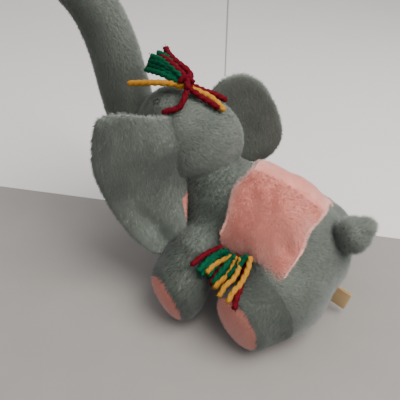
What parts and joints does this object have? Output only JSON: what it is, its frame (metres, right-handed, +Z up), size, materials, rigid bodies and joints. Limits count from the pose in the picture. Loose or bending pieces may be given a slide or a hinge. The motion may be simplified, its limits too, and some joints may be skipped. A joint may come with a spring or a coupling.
{
  "type": "plush elephant",
  "caption": "Sewn and stuffed sitting elephant with raised trunk, flared ears, spread legs, pink saddle cloth, yarn tassels and bow, short tail and a blank cloth tag.",
  "frame": {"origin": "on the table, in the middle of the flat patch under the belly", "axes": "+Z up, the elephant faces -Y, its left side is +X"},
  "size_m": [0.219, 0.3369, 0.259],
  "materials": {
    "grey_plush": "short plush pile",
    "pink_plush": "short plush pile",
    "pink_lining": "short plush pile",
    "stuffing": "loose polyester fibre",
    "yarn": "twisted wool yarn in red, green and yellow",
    "eye": "polished",
    "washer": "moulded",
    "woven_tag": "woven ribbon"
  },
  "bodies": {
    "torso": {"torso_cover_belly": "grey_plush", "torso_cover_left": "grey_plush", "torso_cover_right": "grey_plush", "torso_stuffing": "stuffing", "saddle_blanket": "pink_plush"},
    "head": {"eye_left": "eye", "eye_right": "eye", "eye_washer_left": "washer", "eye_washer_right": "washer", "head_cover_left": "grey_plush", "head_cover_right": "grey_plush", "head_stuffing": "stuffing", "head_yarn_bow": "yarn"},
    "trunk": {"trunk_cover": "grey_plush", "trunk_stuffing": "stuffing"},
    "ear_left": {"ear_left_back": "grey_plush", "ear_left_lining": "pink_lining", "ear_left_padding": "stuffing"},
    "ear_right": {"ear_right_back": "grey_plush", "ear_right_lining": "pink_lining", "ear_right_padding": "stuffing"},
    "tail": {"tail_cover": "grey_plush", "tail_stuffing": "stuffing"},
    "tassel_left": {"saddle_tassel_left": "yarn"},
    "tassel_right": {"saddle_tassel_right": "yarn"},
    "tag": {"care_tag": "woven_tag"},
    "front_leg_left": {"front_leg_left_cover": "grey_plush", "front_leg_left_sole": "pink_lining", "front_leg_left_stuffing": "stuffing"},
    "front_leg_right": {"front_leg_right_cover": "grey_plush", "front_leg_right_sole": "pink_lining", "front_leg_right_stuffing": "stuffing"},
    "hind_leg_left": {"hind_leg_left_cover": "grey_plush", "hind_leg_left_sole": "pink_lining", "hind_leg_left_stuffing": "stuffing"},
    "hind_leg_right": {"hind_leg_right_cover": "grey_plush", "hind_leg_right_sole": "pink_lining", "hind_leg_right_stuffing": "stuffing"}
  },
  "joints": [
    {"name": "head_nod", "type": "hinge", "parent": "torso", "child": "head", "pos_m": [0, -0.083, 0.094], "axis": [0.9659, -0.2588, 0], "range_deg": [-4, 14], "stiffness_Nm_per_rad": 6},
    {"name": "trunk_bend", "type": "hinge", "parent": "head", "child": "trunk", "pos_m": [-0.01, -0.153, 0.114], "axis": [0.9659, -0.2588, 0], "range_deg": [-5, 12], "stiffness_Nm_per_rad": 3},
    {"name": "ear_left_flap", "type": "hinge", "parent": "head", "child": "ear_left", "pos_m": [0.0445, -0.09185, 0.11686], "axis": [0.1164, -0.2195, 0.9686], "range_deg": [-15, 15], "stiffness_Nm_per_rad": 1},
    {"name": "ear_right_flap", "type": "hinge", "parent": "head", "child": "ear_right", "pos_m": [-0.04367, -0.09331, 0.10355], "axis": [0.4156, -0.3742, 0.829], "range_deg": [-15, 15], "stiffness_Nm_per_rad": 1},
    {"name": "tail_wag", "type": "hinge", "parent": "torso", "child": "tail", "pos_m": [0, 0.059, 0.083], "axis": [0, -0.5026, 0.8645], "range_deg": [-18, 18], "stiffness_Nm_per_rad": 0.4},
    {"name": "tassel_left_lift", "type": "hinge", "parent": "torso", "child": "tassel_left", "pos_m": [0.058, -0.013, 0.068], "axis": [0, -1, 0], "range_deg": [0, 25]},
    {"name": "tassel_right_lift", "type": "hinge", "parent": "torso", "child": "tassel_right", "pos_m": [-0.058, -0.013, 0.068], "axis": [0, 1, 0], "range_deg": [0, 25]},
    {"name": "tag_flap", "type": "hinge", "parent": "torso", "child": "tag", "pos_m": [0, 0.067, 0.018], "axis": [0, -0.07, 0.9975], "range_deg": [-25, 25], "stiffness_Nm_per_rad": 0.02},
    {"name": "front_leg_left_swing", "type": "hinge", "parent": "torso", "child": "front_leg_left", "pos_m": [0.05671, -0.0409, 0.03785], "axis": [0, 0, 1], "range_deg": [-10, 4], "stiffness_Nm_per_rad": 1.5},
    {"name": "front_leg_right_swing", "type": "hinge", "parent": "torso", "child": "front_leg_right", "pos_m": [-0.05671, -0.0409, 0.03785], "axis": [0, 0, 1], "range_deg": [-4, 10], "stiffness_Nm_per_rad": 1.5},
    {"name": "hind_leg_left_swing", "type": "hinge", "parent": "torso", "child": "hind_leg_left", "pos_m": [0.05863, 0.02055, 0.03308], "axis": [0, 0, 1], "range_deg": [-4, 10], "stiffness_Nm_per_rad": 1.5},
    {"name": "hind_leg_right_swing", "type": "hinge", "parent": "torso", "child": "hind_leg_right", "pos_m": [-0.05863, 0.02055, 0.03308], "axis": [0, 0, 1], "range_deg": [-10, 4], "stiffness_Nm_per_rad": 1.5}
  ]
}
